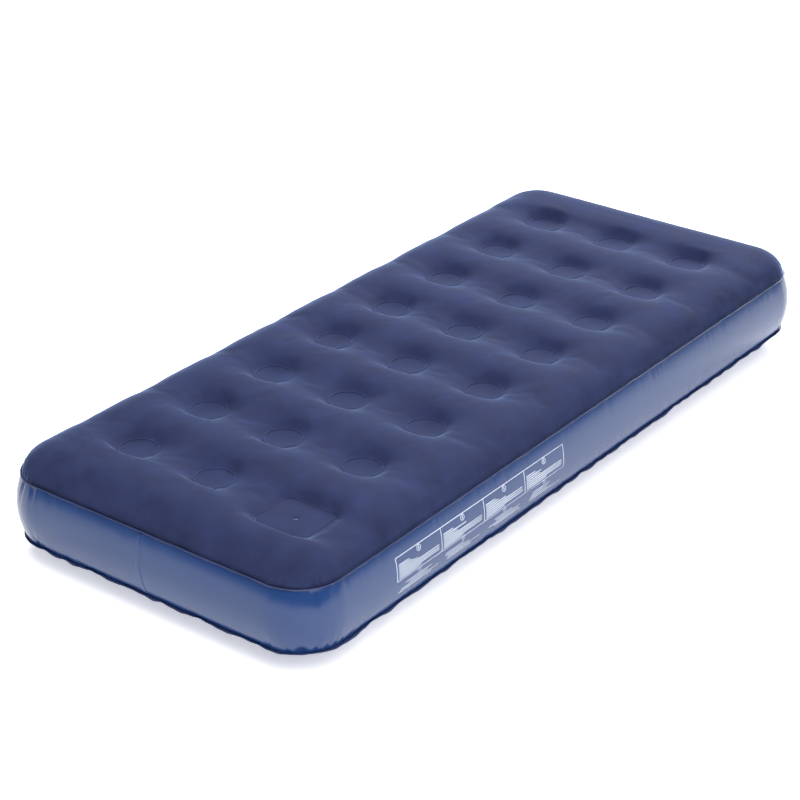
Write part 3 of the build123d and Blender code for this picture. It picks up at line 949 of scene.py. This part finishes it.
def panel_marks():
    """(x, z, width, height, whether a ring) of each printed mark: four cells of plain bars."""
    size = sizes()
    half_x, _ = seam_half()
    start = size.panel_start - half_x
    cell = size.panel_length / 4
    top = size.panel_top
    line, frame_height, inset = 0.0012, 0.047, 0.006
    draw = np.random.RandomState(11)
    middle = start + size.panel_length / 2
    marks = [
        (middle, top, size.panel_length, line, 0),
        (middle, top - frame_height, size.panel_length, 0.75 * line, 0),
    ]
    marks += [
        (start + i * cell, top - frame_height / 2, line, frame_height, 0) for i in range(5)
    ]
    for i in range(4):
        left = start + i * cell + inset
        wide = cell - 2 * inset
        # the cell's own ring with a short bar in it, and a smaller ring below the frame
        marks.append((left + wide / 2, top - 0.0075, 0.011, 0.011, 1))
        marks.append((left + wide / 2, top - 0.0075, 0.0018, 0.0055, 0))
        marks.append((left + wide / 2, top - 0.052, 0.007, 0.007, 1))
        # seven rows of bars in the frame, three of them nearly as wide as it
        for row in range(7):
            run = wide * (0.98 if row in (3, 4, 5) else draw.uniform(0.3, 0.62))
            run = run if row else 0.25 * wide
            height = top - 0.0155 - 0.0044 * row
            marks.append((left + run / 2, height, run, 0.0018, 0))
        # four finer rows below it
        for row in range(4):
            run = wide * draw.uniform(0.45, 0.95)
            shift = draw.uniform(0, wide - run)
            marks.append((left + shift + run / 2, top - 0.060 - 0.0050 * row, run, 0.0013, 0))
    return marks


class AIRBED_OT_side_print(bpy.types.Operator):
    """Print the plain bars and rings of the panel on the side band"""

    bl_idname = "airbed.side_print"
    bl_label = "Side print"

    def execute(self, context):
        _, half_y = seam_half()
        bulge, radius = band_section()
        marks = panel_marks()
        mesh = bpy.data.meshes.new("marks")
        mesh.from_pydata([(x, 0, z) for x, z, _, _, _ in marks], [], [])
        scale = [(wide, 1.0, wide) if ring else (wide, 1.0, high) for _, _, wide, high, ring in marks]
        extent = mesh.attributes.new("print_size", "FLOAT_VECTOR", "POINT")
        extent.data.foreach_set("vector", np.array(scale).ravel())
        rings = mesh.attributes.new("print_ring", "FLOAT", "POINT")
        rings.data.foreach_set("value", [float(mark[4]) for mark in marks])
        values = {
            "Seam": half_y, "Middle": BAND_MIDDLE, "Bulge": bulge, "Bulge radius": radius,
            "Ink": 0.0006,
        }
        panel = run_tree("side_print", mesh, panel_tree(), values, finish("print_ink"))
        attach(panel, BED)
        return {"FINISHED"}


# ------------------------------------------------------------------ foot pump
def tread_path(grow):
    """Points of the tread's outline round its own middle, grown outwards."""
    half = (tread_hi - tread_lo) / 2
    return rounded_path(96, half.x + grow, half.y + grow, sizes().tread_corner + grow)[0]


def pump_loop(grow, level):
    """A loop round the pump, grown from the tread's outline, at a height."""
    path = tread_path(grow)
    return np.column_stack([path + PUMP, np.full(len(path), level)])


def round_loop(radius, level):
    """A circle over the pump's middle whose points face those of the tread's outline."""
    path = tread_path(0)
    path = path / np.linalg.norm(path, axis=1)[:, None] * radius
    return np.column_stack([path + PUMP, np.full(len(path), level)])


def between(outer, inner, share, lift=0.0):
    """A loop part of the way from one loop to another."""
    loop = outer * (1 - share) + inner * share
    loop[:, 2] += lift
    return loop


class AIRBED_OT_foot_pump(bpy.types.Operator):
    """Cover the foot pump: ledge, tread pad, the sleeve between them, and the foam under it"""

    bl_idname = "airbed.foot_pump"
    bl_label = "Foot pump"

    def execute(self, context):
        size = sizes()
        gap = size.window_gap
        hem = 0.006
        ledge_out = (pan_hi.x - pan_lo.x) / 2 - (tread_hi.x - tread_lo.x) / 2
        welt = loft(
            "pump_welt",
            [
                pump_loop(ledge_out, TOP_WELD - 0.0006),
                pump_loop(ledge_out - 0.0008, TOP_WELD + 0.0003),
                pump_loop(ledge_out - 0.002, TOP_WELD + 0.0006),
                pump_loop(gap + 0.0005, TOP_WELD + 0.0006),
                pump_loop(gap + 0.0001, TOP_WELD + 0.0003),
                pump_loop(gap, TOP_WELD - 0.0006),
            ],
            finish("flock"), round_trip=True,
        )
        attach(welt, BED)

        edge_high, edge_low = TOP_WELD + 0.0006, TOP_WELD - hem
        top_edge = pump_loop(-0.0006, TOP_WELD + 0.0008)
        hole = round_loop(size.inlet_hole, TOP_WELD + 0.0011)
        under_edge = pump_loop(-0.0014, TOP_WELD + 0.0001)
        under_hole = round_loop(size.inlet_hole, TOP_WELD + 0.0001)
        crown = [between(top_edge, hole, s, 0.0006 * math.sin(math.pi * s)) for s in
                 (0.0, 0.12, 0.3, 0.5, 0.7, 0.88, 1.0)]
        below = [between(under_edge, under_hole, s) for s in (1.0, 0.6, 0.2, 0.0)]
        pad = loft(
            "pump_pad",
            [pump_loop(-0.0011, edge_low), pump_loop(-0.0002, edge_low),
             pump_loop(0.0, TOP_WELD - 0.0006), pump_loop(gap - 0.0006, TOP_WELD - 0.0001),
             pump_loop(gap - 0.0004, TOP_WELD + 0.0003), pump_loop(gap - 0.0008, edge_high),
             *crown, *below],
            finish("flock"), round_trip=True,
        )
        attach(pad, TREAD)
        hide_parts("pump_tread")

        falls = np.linspace(0, 1, 14)
        outside = [pump_loop(gap - 0.0003 - 0.0004 * math.sin(3 * math.pi * f),
                             TOP_WELD - 0.0002 - (hem + 0.0004) * f) for f in falls]
        inside = [pump_loop(gap - 0.0007 - 0.0004 * math.sin(3 * math.pi * f),
                            TOP_WELD - 0.0002 - (hem + 0.0004) * f) for f in falls[::-1]]
        sleeve = loft("pump_sleeve", outside[::-1] + inside[::-1], finish("flock"), round_trip=True)
        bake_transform(sleeve)

        low, high = foam_lo.z, foam_hi.z
        well, floor = 0.018, foam_hi.z - 0.048
        foam = loft(
            "pump_foam_block",
            [round_loop(0.004, low), pump_loop(-0.004, low), pump_loop(-0.001, low + 0.003),
             pump_loop(-0.001, (low + high) / 2), pump_loop(-0.001, high - 0.003),
             pump_loop(-0.003, high), round_loop(well + 0.001, high), round_loop(well, high - 0.001),
             round_loop(well, floor + 0.001), round_loop(well - 0.001, floor),
             round_loop(0.004, floor)],
            finish("open_foam"),
        )
        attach(foam, BED)
        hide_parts("pump_foam")
        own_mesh(foam)
        return {"FINISHED"}


# ------------------------------------------------------------------ finishes of CAD nodes
class AIRBED_OT_fitted_parts(bpy.types.Operator):
    """Give the valve, the flaps, the pump chamber and the beams their finishes"""

    bl_idname = "airbed.fitted_parts"
    bl_label = "Valve and inner parts"

    def execute(self, context):
        finishes = {
            "valve_cap": "valve_plastic",
            "cap_gasket": "gasket_rubber",
            **dict.fromkeys(("valve_body", "stopper", "pump_inlet", "outlet_seat"), "soft_moulding"),
            **dict.fromkeys(("inlet_flap", "outlet_flap", "check_flap"), "flap_vinyl"),
            **dict.fromkeys(("pump_chamber", *BEAMS), "beam_film"),
        }
        for name, material in finishes.items():
            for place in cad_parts[name].material_slots:
                place.link = "OBJECT"
                place.material = finish(material)
        half_x, _ = seam_half()
        radii = np.array([0.0305, 0.0312, 0.0325, 0.0405, 0.0418, 0.0425])
        proud = np.array([0.0001, 0.0009, 0.0011, 0.0011, 0.0009, 0.0001])
        turn = np.linspace(0, 2 * math.pi, 96, endpoint=False)
        loops = []
        for sink, order in ((0.0, slice(None)), (0.0014, slice(None, None, -1))):
            for radius, lift in zip(radii[order], proud[order]):
                y, z = PORT[0] + radius * np.cos(turn), PORT[1] + radius * np.sin(turn)
                x = half_x + band_reach(z) + (lift if not sink else -0.0003)
                loops.append(np.column_stack([x, y, z]))
        ring = loft("port_weld", loops, finish("rim_film"), round_trip=True)
        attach(ring, BED)
        return {"FINISHED"}


# ------------------------------------------------------------------ studio
def area_light(name, place, aim, size, power):
    """A soft square light that looks at a point."""
    light = bpy.data.lights.new(name, "AREA")
    light.size = size
    light.energy = power
    lamp = placed(name, light)
    lamp.location = place
    lamp.rotation_euler = (Vector(place) - Vector(aim)).to_track_quat("Z", "Y").to_euler()


class AIRBED_OT_studio(bpy.types.Operator):
    """Lay the floor, light it and set the camera"""

    bl_idname = "airbed.studio"
    bl_label = "Studio"

    def execute(self, context):
        scene = context.scene
        mesh = bpy.data.meshes.new("floor")
        mesh.from_pydata(
            [(x, y, -0.001) for x, y in ((-30, -30), (30, -30), (30, 30), (-30, 30))],
            [], [(0, 1, 2, 3)],
        )
        floor = link("floor", mesh, finish("pale_floor"))

        world = bpy.data.worlds.new("studio")
        scene.world = world
        world.use_nodes = True
        tree = world.node_tree
        way = node(tree, "ShaderNodeTexCoord").outputs["Generated"]
        up = node(tree, "ShaderNodeSeparateXYZ", {"Vector": way}).outputs["Z"]
        ramp = node(tree, "ShaderNodeValToRGB", {"Fac": up})
        stops = ramp.color_ramp.elements
        stops[0].position, stops[0].color = 0.0, (0.05, 0.05, 0.055, 1)
        stops[1].position, stops[1].color = 1.0, (0.7, 0.7, 0.72, 1)
        middle = stops.new(0.35)
        middle.color = (0.12, 0.12, 0.13, 1)
        tree.links.new(ramp.outputs[0], tree.nodes["Background"].inputs["Color"])
        tree.nodes["Background"].inputs["Strength"].default_value = 0.9

        area_light("back_light", (3.8, 1.2, 2.2), (0.2, 0.1, 0.1), 1.8, 260)
        area_light("top_light", (-0.6, 0.4, 4.2), (0, 0, 0.1), 3.0, 85)
        area_light("floor_light", (-2.2, -2.8, 3.4), (-1.5, -1.4, 0), 3.4, 160)

        azimuth, elevation, distance = math.radians(-52.83), math.radians(27.19), 4.434
        aim = Vector((-0.0748, 0.0406, 0.1))
        back = Vector((
            math.sin(azimuth) * math.cos(elevation),
            -math.cos(azimuth) * math.cos(elevation),
            math.sin(elevation),
        ))
        lens = bpy.data.cameras.new("camera")
        lens.sensor_width = 36
        lens.lens = 96.5
        camera = placed("camera", lens)
        camera.location = aim + back * distance
        camera.rotation_euler = back.to_track_quat("Z", "Y").to_euler()
        scene.camera = camera
        scene.view_settings.view_transform = "Standard"
        return {"FINISHED"}


# ------------------------------------------------------------------ panel and registration
STEPS = (
    AIRBED_OT_studio,
    AIRBED_OT_top_skin,
    AIRBED_OT_bottom_skin,
    AIRBED_OT_side_band,
    AIRBED_OT_weld_rims,
    AIRBED_OT_weld_rings,
    AIRBED_OT_side_print,
    AIRBED_OT_foot_pump,
    AIRBED_OT_fitted_parts,
)


class AIRBED_PT_panel(bpy.types.Panel):
    """Lists the steps that build the air bed, with its sizes and colours"""

    bl_idname = "AIRBED_PT_panel"
    bl_label = "Air bed"
    bl_space_type = "VIEW_3D"
    bl_region_type = "UI"
    bl_category = "Air Bed"

    def draw(self, context):
        layout = self.layout
        for step in STEPS:
            layout.operator(step.bl_idname)
        for title, group in (("Sizes", sizes()), ("Colours", colours())):
            box = layout.box()
            box.label(text=title)
            for key in group.__annotations__:
                box.prop(group, key)


CLASSES = (AirBedSizes, AirBedColours, *STEPS, AIRBED_PT_panel)


def register():
    for kind in CLASSES:
        bpy.utils.register_class(kind)
    bpy.types.Scene.air_bed_sizes = PointerProperty(type=AirBedSizes)
    bpy.types.Scene.air_bed_colours = PointerProperty(type=AirBedColours)


def unregister():
    del bpy.types.Scene.air_bed_colours
    del bpy.types.Scene.air_bed_sizes
    for kind in reversed(CLASSES):
        bpy.utils.unregister_class(kind)


def main():
    """Registers the add-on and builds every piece."""
    register()
    for step in STEPS:
        group, name = step.bl_idname.split(".")
        getattr(getattr(bpy.ops, group), name)()


if __name__ == "__main__":
    main()
